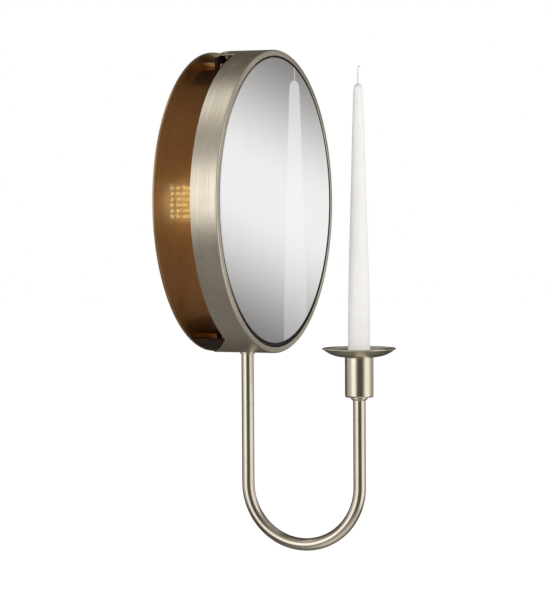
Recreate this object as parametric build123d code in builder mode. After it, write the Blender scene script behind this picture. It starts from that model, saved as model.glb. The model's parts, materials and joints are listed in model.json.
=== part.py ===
from build123d import *
import os

# A wall sconce for one taper candle. A round mirror drum stands off a round wall plate, with lights on its
# back that wash the plate, and a swan-neck tube hangs below it and carries the candle cup and drip pan.
# Frame: the origin is the centre of the wall plate's back face, +Y goes into the wall, +Z is up, and +X is
# to the right of a person who faces the mirror. Sizes are in millimetres.
# Plane.XZ faces away from the wall, so its offset is a distance off the wall, and names that end in _d are
# such distances. A point at distance d has y = -d.

os.makedirs("parts", exist_ok=True)

# ---- driving dimensions: wall plate and drum ----
sheet = 1.2
fit_gap = 0.1
plate_r = 151.4
plate_t = 2.5
plate_edge = 0.5
wire_hole_r = 11.2
mount_spacing = 88.9
mount_hole_r = 2.4

drum_r = 152.4
drum_back_d = 40.0
drum_front_d = 68.5
band_inner_r = drum_r - sheet
lip_r = 146.4
lip_edge = 0.9

tongue_tip_d = plate_t + 0.3
tongue_half = 70.5
tongue_tip_half = 14.5
strap_half = 40.0
strap_tip_d = 20.5

# ---- mirror stack, from the front back ----
glass_r = 143.8
glass_t = 4.0
glass_front_d = 67.9
glass_lift = 1.2
gasket_front_d = 67.0
backing_r = band_inner_r - 0.2
backing_t = 3.0
backing_front_d = 61.4
backing_back_d = backing_front_d - backing_t
pad_size = 30.0
pad_spread = 82.0

# ---- brackets between the wall plate and the drum ----
bracket_half = 40.0
bracket_face_d = 21.0
bracket_depth = 3.5
bracket_foot_z = 118.0
bracket_arc_r = 149.6
flange_half = 34.0
flange_end_d = 36.0
cradle_outer_r = band_inner_r - 0.2
cradle_inner_r = cradle_outer_r - sheet
cradle_half = 65.0
cradle_end_d = 43.5
screw_x = 33.0
screw_z = 136.0
screw_r = 2.0
screw_head_r = 3.6
screw_head_h = 2.4
spacer_r = 4.0
strap_screw_angle = 11.5
strap_screw_d = 26.0
small_screw_r = 1.5
small_head_r = 2.8
small_head_h = 1.5

# ---- rear cover, lights and driver ----
cover_r = band_inner_r - 0.2
cover_back_d = 45.5
cover_front_d = cover_back_d + sheet
lug_angle = 45.0
lug_width = 14.0
lug_shelf_r = 138.0
lug_screw_r = 143.5
board_w = 84.0
board_h = 40.0
board_t = 1.6
chip_w = 3.0
chip_t = 0.7
chip_columns = 4
chip_rows = 6
chip_pitch_x = 15.0
chip_pitch_z = 5.8
board_screw_x = 39.0
board_screw_z = 15.0
driver_w = 92.0
driver_h = 32.0
driver_t = 9.5
driver_z = -62.0
ear_w = 12.0
block_w = 26.0
block_h = 13.0
block_t = 8.5
block_z = 58.0
grommet_z = -105.0
grommet_r = 6.0

# ---- candle arm ----
tube_r = 6.35
tube_wall = 1.2
arm_d = 34.0
bend_r = 60.4
candle_d = arm_d + 2 * bend_r
bend_z = -285.0
collar_r = 7.5
collar_h = 1.6
nipple_r = tube_r - tube_wall - 0.05
nipple_bore = 3.2
nipple_in_tube = 14.0
nut_half_flat = 7.0
nut_h = 5.0
washer_r = 9.5
washer_h = 1.2

# ---- cup, pan, candle ----
neck_r = 8.5
neck_h = 3.0
cup_r = 14.3
cup_wall = 1.4
cup_floor = 2.0
cup_bottom_z = -195.0
cup_top_z = -155.0
tube_end_z = cup_bottom_z - neck_h
cup_bore_r = cup_r - cup_wall
liner_r = cup_bore_r - fit_gap
socket_r = 11.6
socket_floor_z = -178.5
socket_floor_t = 1.5
liner_top_z = cup_top_z - 3.6
pan_rim_r = 36.8
pan_rim_z = -146.0
pan_sheet = 1.1
spigot_r = cup_bore_r - 0.3
spigot_h = 3.0
candle_r = 11.15
wax_top_z = 117.0
wick_r = 0.8
wick_top_z = 134.5
wick_root = 6.0
wick_fold = 4.8


def disc(radius, start_d, end_d, hole_r=0.0):
    """A flat round sheet that faces away from the wall, between two distances off the wall."""
    with BuildPart() as made:
        with BuildSketch(Plane.XZ.offset(start_d)):
            Circle(radius)
            if hole_r:
                Circle(hole_r, mode=Mode.SUBTRACT)
        extrude(amount=end_d - start_d)
    return made.part


def pegs(start_d, end_d, radius, places):
    """Straight pegs off the wall at (x, z) places, for holes."""
    with BuildPart() as made:
        with BuildSketch(Plane.XZ.offset(start_d)):
            with Locations(*places):
                Circle(radius)
        extrude(amount=end_d - start_d)
    return made.part


def save(part, name):
    """Labels a finished piece and writes it as its own file."""
    part.label = name
    export_step(part, f"parts/{name}.step")


def pan_head_screws(places, head_d, tip_d, shank_r, head_r, head_h):
    """Pan-head screws with a cross recess. The head stands on the wall side of head_d when tip_d is further
    off the wall, and on the room side when the tip is nearer the wall."""
    way = 1 if tip_d > head_d else -1
    recess = head_r * 1.1
    with BuildPart() as made:
        with BuildSketch(Plane.XZ.offset(head_d)):
            with Locations(*places):
                Circle(shank_r)
        extrude(amount=tip_d - head_d)
        with BuildSketch(Plane.XZ.offset(head_d)):
            with Locations(*places):
                Circle(head_r)
        extrude(amount=-way * head_h)
        top = made.faces().filter_by(Axis.Y).group_by(Axis.Y)[-1 if way > 0 else 0]
        fillet(top.edges(), head_h * 0.45)
        with BuildSketch(Plane.XZ.offset(head_d - way * head_h)):
            with Locations(*places):
                Rectangle(recess, head_r * 0.24)
                Rectangle(head_r * 0.24, recess)
        extrude(amount=way * head_h * 0.45, mode=Mode.SUBTRACT)
    return made.part


def ring_places(radius, first_angle, count):
    """Even (x, z) places round the drum's axis."""
    return [
        (loc.position.X, loc.position.Y)
        for loc in PolarLocations(radius, count, start_angle=first_angle).locations
    ]


def upright_nut(centre_y, bottom_z, half_flat, height, bore_r):
    """A hexagon nut on an upright axis."""
    with BuildPart() as made:
        with BuildSketch(Plane.XY.offset(bottom_z)):
            with Locations((0, centre_y)):
                RegularPolygon(half_flat, 6, major_radius=False)
                Circle(bore_r, mode=Mode.SUBTRACT)
        extrude(amount=height)
        chamfer(made.edges().filter_by(GeomType.LINE).group_by(Axis.Z)[-1], 0.5)
    return made.part


def upright_pipe(centre_y, bottom_z, top_z, outer_r, bore_r):
    """A short pipe on an upright axis."""
    with BuildPart() as made:
        with BuildSketch(Plane.XY.offset(bottom_z)):
            with Locations((0, centre_y)):
                Circle(outer_r)
                Circle(bore_r, mode=Mode.SUBTRACT)
        extrude(amount=top_z - bottom_z)
    return made.part


bracket_places = [(x, z) for x in (-screw_x, screw_x) for z in (-screw_z, screw_z)]
lug_places = ring_places(lug_screw_r, lug_angle, 4)
board_places = [(x, z) for x in (-board_screw_x, board_screw_x) for z in (-board_screw_z, board_screw_z)]
driver_places = [(x, driver_z) for x in (-(driver_w + ear_w) / 2, (driver_w + ear_w) / 2)]

# ---- wall plate: a flat round sheet, screwed to the wall through two holes beside the wire hole ----
with BuildPart() as wall_plate:
    add(disc(plate_r, 0, plate_t, wire_hole_r))
    outer_edges = wall_plate.edges().filter_by(GeomType.CIRCLE).sort_by(SortBy.RADIUS)[-2:]
    fillet(outer_edges.sort_by(Axis.Y)[0], plate_edge)
    add(pegs(0, plate_t, mount_hole_r, [(-mount_spacing / 2, 0), (mount_spacing / 2, 0)]), mode=Mode.SUBTRACT)
    add(pegs(0, plate_t, screw_r + 0.05, bracket_places), mode=Mode.SUBTRACT)
save(wall_plate.part, "wall_plate")

# ---- rubber bush that lines the wire hole ----
with BuildPart() as wire_bush:
    with BuildSketch(Plane.XZ):
        Circle(wire_hole_r - 0.05)
    extrude(amount=plate_t)
    with BuildSketch(Plane.XZ.offset(plate_t)):
        Circle(wire_hole_r + 3)
    extrude(amount=1.5)
    fillet(wire_bush.edges().group_by(Axis.Y)[0], 0.6)
    with BuildSketch(Plane.XZ):
        Circle(wire_hole_r - 3)
    extrude(amount=plate_t + 1.5, mode=Mode.SUBTRACT)
save(wire_bush.part, "wire_bush")

# ---- tube spacers that hold the brackets off the plate ----
with BuildPart() as bracket_spacers:
    with BuildSketch(Plane.XZ.offset(plate_t)):
        with Locations(*bracket_places):
            Circle(spacer_r)
            Circle(screw_r + 0.2, mode=Mode.SUBTRACT)
    extrude(amount=bracket_face_d - sheet - plate_t)
save(bracket_spacers.part, "bracket_spacers")

# ---- upper and lower brackets: a face that is parallel to the wall, with sides folded back ----
with BuildPart() as bracket_blank:
    with BuildSketch(Plane.XZ.offset(bracket_face_d - bracket_depth)):
        Circle(bracket_arc_r)
        with Locations((0, bracket_foot_z)):
            Rectangle(2 * bracket_half, drum_r, align=(Align.CENTER, Align.MIN), mode=Mode.INTERSECT)
    extrude(amount=bracket_depth)
    with BuildSketch(Plane.XZ.offset(bracket_face_d - bracket_depth)):
        Rectangle(2 * (bracket_half - sheet), 2 * drum_r)
    extrude(amount=bracket_depth - sheet, mode=Mode.SUBTRACT)
    blank_holes = [(-screw_x, screw_z), (screw_x, screw_z)]
    add(pegs(bracket_face_d - sheet, bracket_face_d, screw_r + 0.2, blank_holes), mode=Mode.SUBTRACT)

with BuildPart() as lower_bracket:
    add(mirror(bracket_blank.part, about=Plane.XY, mode=Mode.PRIVATE))
save(lower_bracket.part, "lower_bracket")

with BuildPart() as strap_window:
    with BuildSketch(Plane.XY):
        with Locations((0, -(bracket_face_d - sheet))):
            Rectangle(2 * flange_half, flange_end_d - bracket_face_d + sheet, align=(Align.CENTER, Align.MAX))
    extrude(amount=drum_r)

# The upper bracket also has a curved flange, folded forward under the drum's strap.
with BuildPart() as upper_bracket:
    add(disc(bracket_arc_r + sheet, bracket_face_d - sheet, flange_end_d, bracket_arc_r))
    add(strap_window.part, mode=Mode.INTERSECT)
    add(bracket_blank.part)
    for angle in (-strap_screw_angle, strap_screw_angle):
        with BuildSketch(Plane((0, -strap_screw_d, 0), z_dir=Vector(0, 0, 1).rotate(Axis.Y, angle))):
            Circle(small_screw_r + 0.1)
        extrude(amount=drum_r, mode=Mode.SUBTRACT)
save(upper_bracket.part, "upper_bracket")

# ---- pan-head screws through the brackets and spacers into the wall plate ----
bracket_screws = pan_head_screws(
    bracket_places, bracket_face_d, 0.2, screw_r, screw_head_r, screw_head_h
)
save(bracket_screws, "bracket_screws")

# ---- cradle: a curved sheet on the wall plate that the drum's tongue and the arm's nut sit on ----
with BuildPart() as cradle_window:
    with BuildSketch(Plane.XY):
        with Locations((0, -plate_t)):
            Rectangle(2 * cradle_half, cradle_end_d - plate_t, align=(Align.CENTER, Align.MAX))
        with Locations((0, -arm_d)):
            Circle(nipple_r + 0.2, mode=Mode.SUBTRACT)
    extrude(amount=-drum_r)

with BuildPart() as cradle:
    add(disc(cradle_outer_r, plate_t, cradle_end_d, cradle_inner_r))
    add(cradle_window.part, mode=Mode.INTERSECT)
save(cradle.part, "cradle")

# ---- drum band: a rolled band with a lip round the mirror, a tapering tongue below and a strap above ----
with BuildPart() as tail_window:
    with BuildSketch(Plane.XY):
        Polygon(
            (-tongue_half, -drum_back_d),
            (tongue_half, -drum_back_d),
            (tongue_tip_half, -tongue_tip_d),
            (-tongue_tip_half, -tongue_tip_d),
            align=None,
        )
    extrude(amount=-drum_r - 1)
    with BuildSketch(Plane.XY):
        with Locations((0, -strap_tip_d)):
            Rectangle(2 * strap_half, drum_back_d - strap_tip_d, align=(Align.CENTER, Align.MAX))
    extrude(amount=drum_r + 1)

with BuildPart() as drum_band:
    add(disc(drum_r, tongue_tip_d, drum_back_d, band_inner_r))
    add(tail_window.part, mode=Mode.INTERSECT)
    add(disc(drum_r, drum_back_d, drum_front_d, band_inner_r))
    add(disc(drum_r, drum_front_d - sheet, drum_front_d, lip_r))
    add(disc(lip_r + sheet, backing_front_d, drum_front_d, lip_r))
    front = drum_band.edges().filter_by(GeomType.CIRCLE).group_by(Axis.Y)[0].sort_by(SortBy.RADIUS)
    fillet(front[-1], lip_edge)
    fillet(front[0], lip_edge / 2)
    with BuildSketch(Plane.XY):
        with Locations((0, -arm_d)):
            Circle(nipple_r + 0.2)
    extrude(amount=-drum_r - 1, mode=Mode.SUBTRACT)
    for angle in (-strap_screw_angle, strap_screw_angle):
        with BuildSketch(Plane((0, -strap_screw_d, 0), z_dir=Vector(0, 0, 1).rotate(Axis.Y, angle))):
            Circle(small_screw_r + 0.1)
        extrude(amount=drum_r + 1, mode=Mode.SUBTRACT)
save(drum_band.part, "drum_band")

# ---- strap screws and their nuts, which point at the drum's axis ----
nut_t = 2.4
with BuildPart() as strap_screws:
    for angle in (-strap_screw_angle, strap_screw_angle):
        axis = Vector(0, 0, 1).rotate(Axis.Y, angle)
        seat = Vector(0, -strap_screw_d, 0) + axis * (drum_r + 0.02)
        with BuildSketch(Plane(seat, z_dir=axis)):
            Circle(small_head_r)
        extrude(amount=small_head_h / 2, taper=35)
        with BuildSketch(Plane(seat, z_dir=axis)):
            Circle(small_screw_r)
        extrude(amount=-(drum_r - bracket_arc_r + nut_t + 1))
save(strap_screws.part, "strap_screws")

with BuildPart() as strap_nuts:
    for angle in (-strap_screw_angle, strap_screw_angle):
        axis = Vector(0, 0, 1).rotate(Axis.Y, angle)
        seat = Vector(0, -strap_screw_d, 0) + axis * (bracket_arc_r - 0.05)
        with BuildSketch(Plane(seat, z_dir=axis)):
            RegularPolygon(2.75, 6, major_radius=False)
            Circle(small_screw_r + 0.05, mode=Mode.SUBTRACT)
        extrude(amount=-nut_t)
save(strap_nuts.part, "strap_nuts")

# ---- C-shaped lugs, spot-welded inside the band, that carry the rear cover and the mirror's backing ----
lug_foot_r = band_inner_r - 0.25
lug_t = 1.5
with BuildPart() as drum_lugs:
    for place in PolarLocations(0, 4, start_angle=lug_angle).locations:
        out = Vector(1, 0, 0).rotate(Axis.Z, place.orientation.Z)
        radial = Vector(out.X, 0, out.Y)
        with BuildSketch(Plane(origin=(0, 0, 0), x_dir=radial, z_dir=radial.cross(Vector(0, 1, 0)))):
            with BuildLine():
                FilletPolyline(
                    (lug_shelf_r, -(cover_front_d + lug_t / 2)),
                    (lug_foot_r - lug_t / 2, -(cover_front_d + lug_t / 2)),
                    (lug_foot_r - lug_t / 2, -(backing_back_d - lug_t / 2)),
                    (lug_shelf_r, -(backing_back_d - lug_t / 2)),
                    radius=1.2,
                )
                offset(amount=lug_t / 2, kind=Kind.INTERSECTION, side=Side.BOTH)
            make_face()
        extrude(amount=lug_width / 2, both=True)
    add(pegs(cover_front_d, backing_back_d, small_screw_r + 0.05, lug_places), mode=Mode.SUBTRACT)
save(drum_lugs.part, "drum_lugs")

# ---- rear cover: closes the drum and carries the lights, driver and grommet ----
with BuildPart() as rear_cover:
    add(disc(cover_r, cover_back_d, cover_front_d))
    for places in (lug_places, board_places, driver_places):
        add(pegs(cover_back_d, cover_front_d, small_screw_r + 0.1, places), mode=Mode.SUBTRACT)
    add(pegs(cover_back_d, cover_front_d, grommet_r, [(0, grommet_z)]), mode=Mode.SUBTRACT)
save(rear_cover.part, "rear_cover")

cover_screws = pan_head_screws(
    lug_places, cover_back_d, cover_front_d + lug_t + 1, small_screw_r, small_head_r, small_head_h
)
save(cover_screws, "cover_screws")

# ---- grommet: a rubber ring with a groove that the rear cover's hole sits in ----
with BuildPart() as cable_grommet:
    with BuildSketch(Plane.XZ.offset(cover_back_d - 1.5)):
        with Locations((0, grommet_z)):
            Circle(grommet_r + 2.5)
    extrude(amount=sheet + 3)
    fillet(cable_grommet.edges(), 0.6)
    with BuildSketch(Plane.XZ.offset(cover_back_d)):
        with Locations((0, grommet_z)):
            Circle(grommet_r + 4)
            Circle(grommet_r - 0.05, mode=Mode.SUBTRACT)
    extrude(amount=sheet, mode=Mode.SUBTRACT)
    add(pegs(cover_back_d - 1.5, cover_front_d + 1.5, grommet_r - 2, [(0, grommet_z)]), mode=Mode.SUBTRACT)
save(cable_grommet.part, "cable_grommet")

# ---- light board on the wall side of the rear cover, with its light chips and screws ----
with BuildPart() as led_board:
    with BuildSketch(Plane.XZ.offset(cover_back_d)):
        RectangleRounded(board_w, board_h, 3)
    extrude(amount=-board_t)
    add(pegs(cover_back_d - board_t, cover_back_d, small_screw_r + 0.1, board_places), mode=Mode.SUBTRACT)
save(led_board.part, "led_board")

with BuildPart() as led_chips:
    with BuildSketch(Plane.XZ.offset(cover_back_d - board_t)):
        with GridLocations(chip_pitch_x, chip_pitch_z, chip_columns, chip_rows):
            Rectangle(chip_w, chip_w)
    extrude(amount=-chip_t)
save(led_chips.part, "led_chips")

board_screws = pan_head_screws(
    board_places, cover_back_d - board_t, cover_front_d + 2, small_screw_r, small_head_r, small_head_h
)
save(board_screws, "board_screws")

# ---- driver: a moulded box with an ear and a screw at each end ----
with BuildPart() as led_driver:
    with BuildSketch(Plane.XZ.offset(cover_front_d)):
        with Locations((0, driver_z)):
            RectangleRounded(driver_w, driver_h, 2)
    extrude(amount=driver_t)
    fillet(led_driver.edges().group_by(Axis.Y)[0], 1.0)
    with BuildSketch(Plane.XZ.offset(cover_front_d)):
        with Locations((0, driver_z)):
            SlotOverall(driver_w + 2 * ear_w, ear_w)
    extrude(amount=2)
    add(pegs(cover_front_d, cover_front_d + 2, small_screw_r + 0.05, driver_places), mode=Mode.SUBTRACT)
save(led_driver.part, "led_driver")

driver_screws = pan_head_screws(
    driver_places, cover_back_d, cover_front_d + 3, small_screw_r, small_head_r, small_head_h
)
save(driver_screws, "driver_screws")

# ---- terminal block that joins the house wires to the driver ----
with BuildPart() as terminal_block:
    with BuildSketch(Plane.XZ.offset(cover_front_d)):
        with Locations((0, block_z)):
            Rectangle(block_w, block_h)
    extrude(amount=block_t)
    with BuildSketch(Plane.XZ.offset(cover_front_d + block_t)):
        with Locations((0, block_z)):
            with GridLocations(block_w / 3, block_h / 2, 3, 2):
                Circle(1.9)
    extrude(amount=-3, mode=Mode.SUBTRACT)
save(terminal_block.part, "terminal_block")

# ---- mirror: backing panel, foam pads, black gasket and the glass, which sits a little high ----
backing = disc(backing_r, backing_back_d, backing_front_d)
save(backing, "mirror_backing")

with BuildPart() as mirror_pads:
    with BuildSketch(Plane.XZ.offset(backing_front_d)):
        Rectangle(pad_size, pad_size)
        with PolarLocations(pad_spread, 6):
            Rectangle(pad_size, pad_size)
    extrude(amount=glass_front_d - glass_t - backing_front_d)
save(mirror_pads.part, "mirror_pads")

with BuildPart() as mirror_glass:
    with BuildSketch(Plane.XZ.offset(glass_front_d - glass_t)):
        with Locations((0, glass_lift)):
            Circle(glass_r)
    extrude(amount=glass_t)
    chamfer(mirror_glass.edges().group_by(Axis.Y)[0], 0.4)
save(mirror_glass.part, "mirror_glass")

with BuildPart() as mirror_gasket:
    with BuildSketch(Plane.XZ.offset(backing_front_d)):
        Circle(lip_r - fit_gap)
        with Locations((0, glass_lift)):
            Circle(glass_r + fit_gap / 2, mode=Mode.SUBTRACT)
    extrude(amount=gasket_front_d - backing_front_d)
save(mirror_gasket.part, "mirror_gasket")

# ---- arm tube: down from the drum, round a half circle, and up to the cup ----
with BuildPart() as arm_tube:
    with BuildLine():
        leg = Line((0, -arm_d, -drum_r - collar_h), (0, -arm_d, bend_z))
        bend = ThreePointArc(
            leg @ 1, (0, -(arm_d + bend_r), bend_z - bend_r), (0, -candle_d, bend_z)
        )
        Line(bend @ 1, (0, -candle_d, tube_end_z))
    with BuildSketch(Plane(leg @ 0, z_dir=leg % 0)):
        Circle(tube_r)
        Circle(tube_r - tube_wall, mode=Mode.SUBTRACT)
    sweep()
save(arm_tube.part, "arm_tube")

# ---- collar between the arm and the drum's tongue, shaped to the curve of the band ----
with BuildPart() as arm_collar:
    add(upright_pipe(-arm_d, -drum_r - collar_h, -drum_r + 1, collar_r, nipple_r + 0.05))
    fillet(arm_collar.edges().group_by(Axis.Z)[0].sort_by(SortBy.RADIUS)[-1], 0.5)
    with BuildSketch(Plane.XZ):
        Circle(drum_r + 0.02)
    extrude(amount=drum_front_d, mode=Mode.SUBTRACT)
save(arm_collar.part, "arm_collar")

# ---- threaded nipple, washer and nut that clamp the arm to the tongue and cradle ----
washer_z = -(cradle_inner_r**2 - washer_r**2) ** 0.5 + 0.05
nut_z = washer_z + washer_h
arm_nipple = upright_pipe(
    -arm_d, -drum_r - collar_h - nipple_in_tube, nut_z + nut_h + 2, nipple_r, nipple_bore
)
save(arm_nipple, "arm_nipple")
arm_washer = upright_pipe(-arm_d, washer_z, nut_z, washer_r, nipple_r + 0.2)
save(arm_washer, "arm_washer")
arm_nut = upright_nut(-arm_d, nut_z, nut_half_flat, nut_h, nipple_r + 0.02)
save(arm_nut, "arm_nut")

# ---- cup end of the arm: neck ring, threaded nipple, cup, nut and liner ----
with BuildPart() as neck_ring:
    with BuildSketch(Plane.XY.offset(cup_bottom_z)):
        with Locations((0, -candle_d)):
            Circle(neck_r)
    extrude(amount=-neck_h)
    chamfer(neck_ring.edges().group_by(Axis.Z)[0], 1.6, 1.4)
    with BuildSketch(Plane.XY.offset(cup_bottom_z)):
        with Locations((0, -candle_d)):
            Circle(nipple_r + 0.05)
    extrude(amount=-neck_h, mode=Mode.SUBTRACT)
save(neck_ring.part, "neck_ring")

cup_nipple = upright_pipe(
    -candle_d, tube_end_z - nipple_in_tube, cup_bottom_z + cup_floor + 6, nipple_r, nipple_bore
)
save(cup_nipple, "cup_nipple")

with BuildPart() as candle_cup:
    with BuildSketch(Plane.XY.offset(cup_bottom_z)):
        with Locations((0, -candle_d)):
            Circle(cup_r)
    extrude(amount=cup_top_z - cup_bottom_z)
    fillet(candle_cup.edges().group_by(Axis.Z)[0], 1.8)
    chamfer(candle_cup.edges().group_by(Axis.Z)[-1], 0.5)
    with BuildSketch(Plane.XY.offset(cup_bottom_z + cup_floor)):
        with Locations((0, -candle_d)):
            Circle(cup_bore_r)
    extrude(amount=cup_top_z - cup_bottom_z, mode=Mode.SUBTRACT)
    with BuildSketch(Plane.XY.offset(cup_bottom_z)):
        with Locations((0, -candle_d)):
            Circle(nipple_r + 0.05)
    extrude(amount=cup_floor, mode=Mode.SUBTRACT)
save(candle_cup.part, "candle_cup")

cup_nut = upright_nut(-candle_d, cup_bottom_z + cup_floor, nut_half_flat, 4.0, nipple_r + 0.02)
save(cup_nut, "cup_nut")

with BuildPart() as candle_liner:
    with BuildSketch(Plane.XY.offset(cup_bottom_z + cup_floor)):
        with Locations((0, -candle_d)):
            Circle(liner_r)
            Circle(socket_r, mode=Mode.SUBTRACT)
    extrude(amount=liner_top_z - cup_bottom_z - cup_floor)
    with BuildSketch(Plane.XY.offset(socket_floor_z - socket_floor_t)):
        with Locations((0, -candle_d)):
            Circle(liner_r)
    extrude(amount=socket_floor_t)
save(candle_liner.part, "candle_liner")

# ---- drip pan: a shallow spun dish with a short spigot that drops into the cup ----
with BuildPart() as drip_pan:
    with BuildSketch(Plane((0, -candle_d, 0), z_dir=(0, -1, 0), x_dir=(1, 0, 0))):
        with BuildLine():
            Line((socket_r, cup_top_z - spigot_h), (spigot_r, cup_top_z - spigot_h))
            Line((spigot_r, cup_top_z - spigot_h), (spigot_r, cup_top_z))
            Line((spigot_r, cup_top_z), (cup_r, cup_top_z))
            under = ThreePointArc(
                (cup_r, cup_top_z), (27.5, cup_top_z + 2.5), (pan_rim_r - 0.1, pan_rim_z - 0.6)
            )
            rim = ThreePointArc(under @ 1, (pan_rim_r, pan_rim_z - 0.2), (pan_rim_r - 0.7, pan_rim_z))
            ThreePointArc(
                rim @ 1, (27.0, cup_top_z + 2.5 + pan_sheet), (cup_r, cup_top_z + pan_sheet)
            )
            Line((cup_r, cup_top_z + pan_sheet), (socket_r, cup_top_z + pan_sheet))
            Line((socket_r, cup_top_z + pan_sheet), (socket_r, cup_top_z - spigot_h))
        make_face()
    revolve(axis=Axis((0, -candle_d, 0), (0, 0, 1)))
save(drip_pan.part, "drip_pan")

# ---- taper candle, with a blind hole for the wick ----
shoulder_z = wax_top_z - 6.0
with BuildPart() as candle:
    with BuildSketch(Plane((0, -candle_d, 0), z_dir=(0, -1, 0), x_dir=(1, 0, 0))):
        with BuildLine():
            Line((0, socket_floor_z), (candle_r - 1, socket_floor_z))
            Line((candle_r - 1, socket_floor_z), (candle_r, socket_floor_z + 1.5))
            Line((candle_r, socket_floor_z + 1.5), (candle_r, -140))
            side = Spline(
                [(candle_r, -140), (10.9, -105), (9.45, -48), (7.65, 10), (6.1, 66), (4.55, shoulder_z)],
                tangents=((0, 1), (-0.06, 1)),
            )
            tip = Spline(side @ 1, (1.2, wax_top_z), tangents=((-0.06, 1), (-1, 0.25)))
            Line(tip @ 1, (0, wax_top_z))
            Line((0, wax_top_z), (0, socket_floor_z))
        make_face()
    revolve(axis=Axis((0, -candle_d, 0), (0, 0, 1)))
    with BuildSketch(Plane.XY.offset(wax_top_z)):
        with Locations((0, -candle_d)):
            Circle(wick_r)
    extrude(amount=-wick_root, mode=Mode.SUBTRACT)
save(candle.part, "candle")

# ---- wick: a waxed cord with its end folded over ----
with BuildPart() as wick:
    with BuildSketch(Plane.XZ.offset(candle_d - wick_fold / 2)):
        with Locations((0, wick_top_z - wick_r)):
            Circle(wick_r)
    extrude(amount=wick_fold)
    with BuildSketch(Plane.XY.offset(wax_top_z - wick_root)):
        with Locations((0, -candle_d)):
            Circle(wick_r - 0.05)
    extrude(amount=wick_top_z - wick_r - wax_top_z + wick_root)
save(wick.part, "wick")
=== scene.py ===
import json
import math

import bmesh
import bpy
from mathutils import Matrix, Vector, noise


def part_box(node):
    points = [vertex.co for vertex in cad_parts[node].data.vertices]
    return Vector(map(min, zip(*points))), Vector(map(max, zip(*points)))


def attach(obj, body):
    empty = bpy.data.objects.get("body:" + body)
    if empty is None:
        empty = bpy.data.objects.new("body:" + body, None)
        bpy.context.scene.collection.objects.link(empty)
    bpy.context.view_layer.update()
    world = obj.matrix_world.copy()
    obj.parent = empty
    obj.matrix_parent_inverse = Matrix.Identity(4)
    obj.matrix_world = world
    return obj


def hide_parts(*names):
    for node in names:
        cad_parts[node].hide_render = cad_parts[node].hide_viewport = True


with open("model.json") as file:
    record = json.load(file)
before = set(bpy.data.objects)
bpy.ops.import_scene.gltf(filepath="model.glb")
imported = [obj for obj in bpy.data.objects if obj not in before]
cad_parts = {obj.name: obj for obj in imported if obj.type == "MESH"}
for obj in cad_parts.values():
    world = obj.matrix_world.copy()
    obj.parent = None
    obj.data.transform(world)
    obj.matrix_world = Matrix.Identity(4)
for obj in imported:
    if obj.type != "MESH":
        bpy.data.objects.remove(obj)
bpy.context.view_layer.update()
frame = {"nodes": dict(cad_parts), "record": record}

# The finished look of a wall sconce: a round mirror in a brushed-nickel drum stands off a bronze wall plate,
# and a swan-neck arm below it carries a cup, a loose drip pan and a taper candle. Everything is in metres.
# The wall is the plane y = 0, so a piece that stands off it has a negative y. A lathe profile is a list of
# corners (radius, height, rounding), and its height runs along the piece's own axis.

MM = 0.001
scene = bpy.context.scene

# ---- places, from the frame ----
plate_low, plate_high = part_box("wall_plate")
band_low, band_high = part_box("drum_band")
glass_low, glass_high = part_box("mirror_glass")
gasket_low, gasket_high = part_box("mirror_gasket")
tube_low, tube_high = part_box("arm_tube")
collar_low, collar_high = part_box("arm_collar")
neck_low, neck_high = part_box("neck_ring")
cup_low, cup_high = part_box("candle_cup")
liner_low, liner_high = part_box("candle_liner")
pan_low, pan_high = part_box("drip_pan")
candle_low, candle_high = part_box("candle")

drum_r = band_high.x
drum_front = band_low.y
drum_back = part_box("rear_cover")[1].y + 5.5 * MM
tongue_tip = band_high.y
strap_tip = -20.5 * MM
sheet = 1.2 * MM
lip_r = gasket_high.x + 0.1 * MM
tongue_half = 70.5 * MM
tongue_tip_half = 14.5 * MM
strap_half = 40 * MM

tube_r = collar_high.x - 1.15 * MM
nipple_r = 5.15 * MM
socket_r = 11.6 * MM
arm_y = (collar_low.y + collar_high.y) / 2
candle_y = (cup_low.y + cup_high.y) / 2
bend_r = (arm_y - candle_y) / 2
bend_z = tube_low.z + tube_r + bend_r
cup_axis = (0.0, candle_y)


# ---- shapes ----
def new_object(name, data):
    made = bpy.data.objects.new(name, data)
    scene.collection.objects.link(made)
    return made


def new_mesh(name, shaped):
    """A mesh from a bmesh, which is freed."""
    mesh = bpy.data.meshes.new(name)
    shaped.to_mesh(mesh)
    shaped.free()
    return mesh


def shade(mesh, sharp):
    """Shades a mesh smooth, except over edges that turn by more than sharp degrees."""
    mesh.polygons.foreach_set("use_smooth", [True] * len(mesh.polygons))
    mesh.set_sharp_from_angle(angle=math.radians(sharp))


def settle(piece):
    """Turns what a piece's modifiers make into its own mesh."""
    shown = piece.evaluated_get(bpy.context.evaluated_depsgraph_get())
    piece.data = bpy.data.meshes.new_from_object(shown)
    piece.modifiers.clear()


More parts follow.
